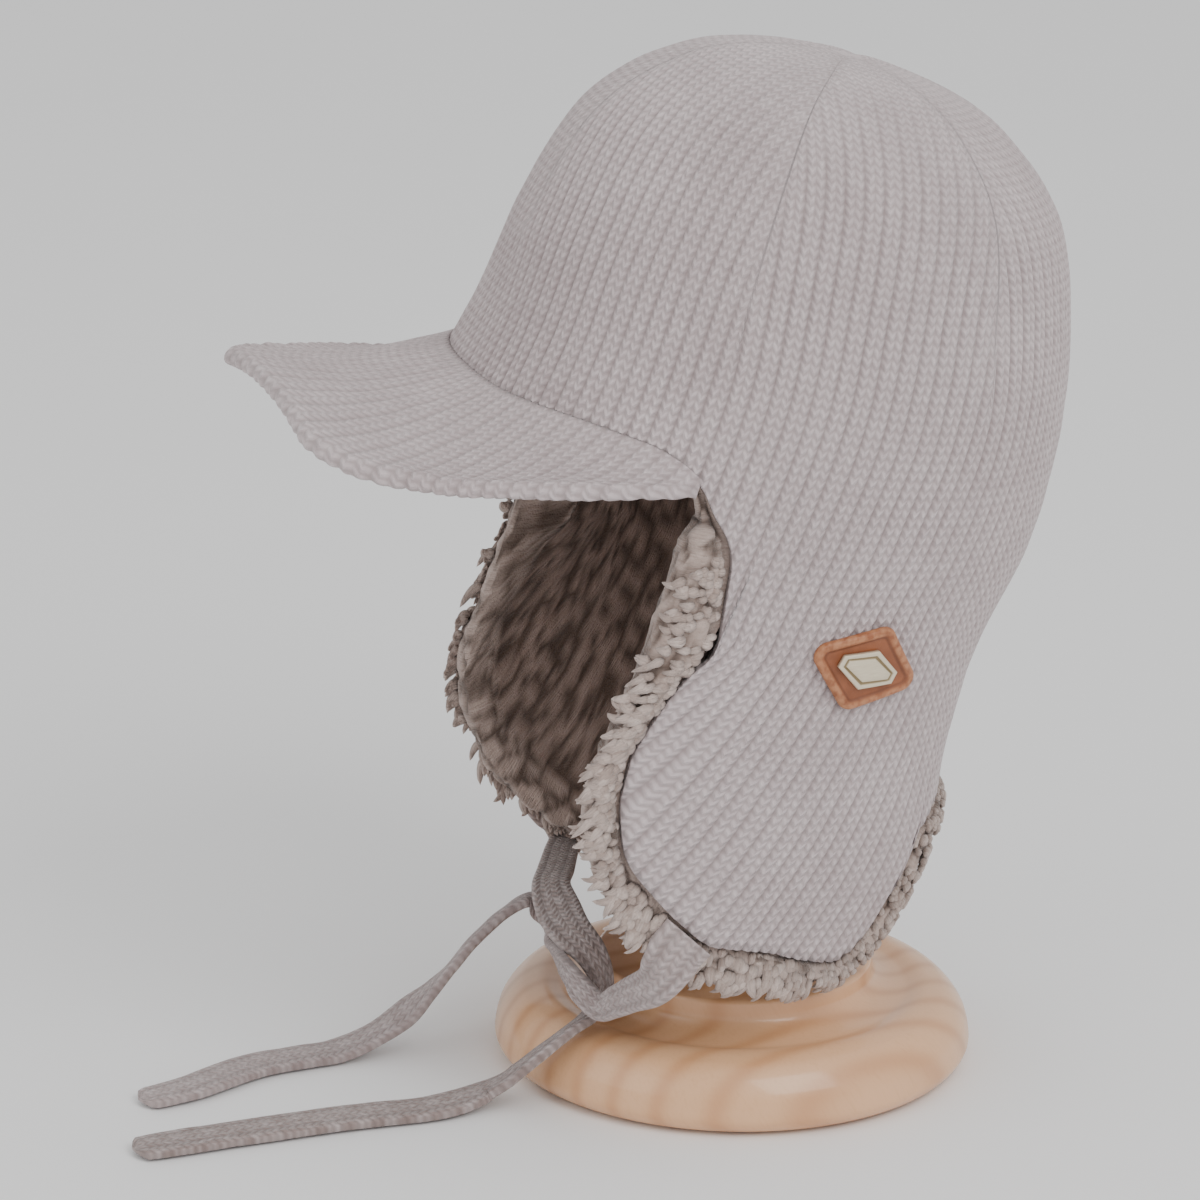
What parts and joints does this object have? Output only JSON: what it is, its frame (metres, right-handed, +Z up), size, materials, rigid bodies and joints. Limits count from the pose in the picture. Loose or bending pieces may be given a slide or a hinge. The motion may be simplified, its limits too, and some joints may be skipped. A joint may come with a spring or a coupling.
{
  "type": "knit trapper hat on a plain wooden hat stand",
  "caption": "Ribbed knit trapper hat with a knit-covered peak, pile-lined ear flaps, crossed knit ties and a leather badge, on a plain turned wooden stand.",
  "frame": {"origin": "centre of the stand's foot, on the surface that it stands on", "axes": "+Z up along the stand's axis; -Y towards the peak; +X towards the badge side, the wearer's left"},
  "size_m": [0.1802, 0.344, 0.3717],
  "materials": {
    "knit": "heathered ribbed wool knit",
    "pile": "curly wool pile",
    "tie_knit": "flat heathered knit strap",
    "leather": "smooth brown leather",
    "badge_metal": "pale gilt metal",
    "stand_wood": "glossy clear-lacquered pine"
  },
  "bodies": {
    "root": {"knit_shell": "knit", "sherpa_lining": "pile", "brim": "knit", "tie_left": "tie_knit", "tie_right": "tie_knit", "badge_patch": "leather", "badge_plate": "badge_metal", "stand_base": "stand_wood", "stand_post": "stand_wood"}
  },
  "joints": []
}
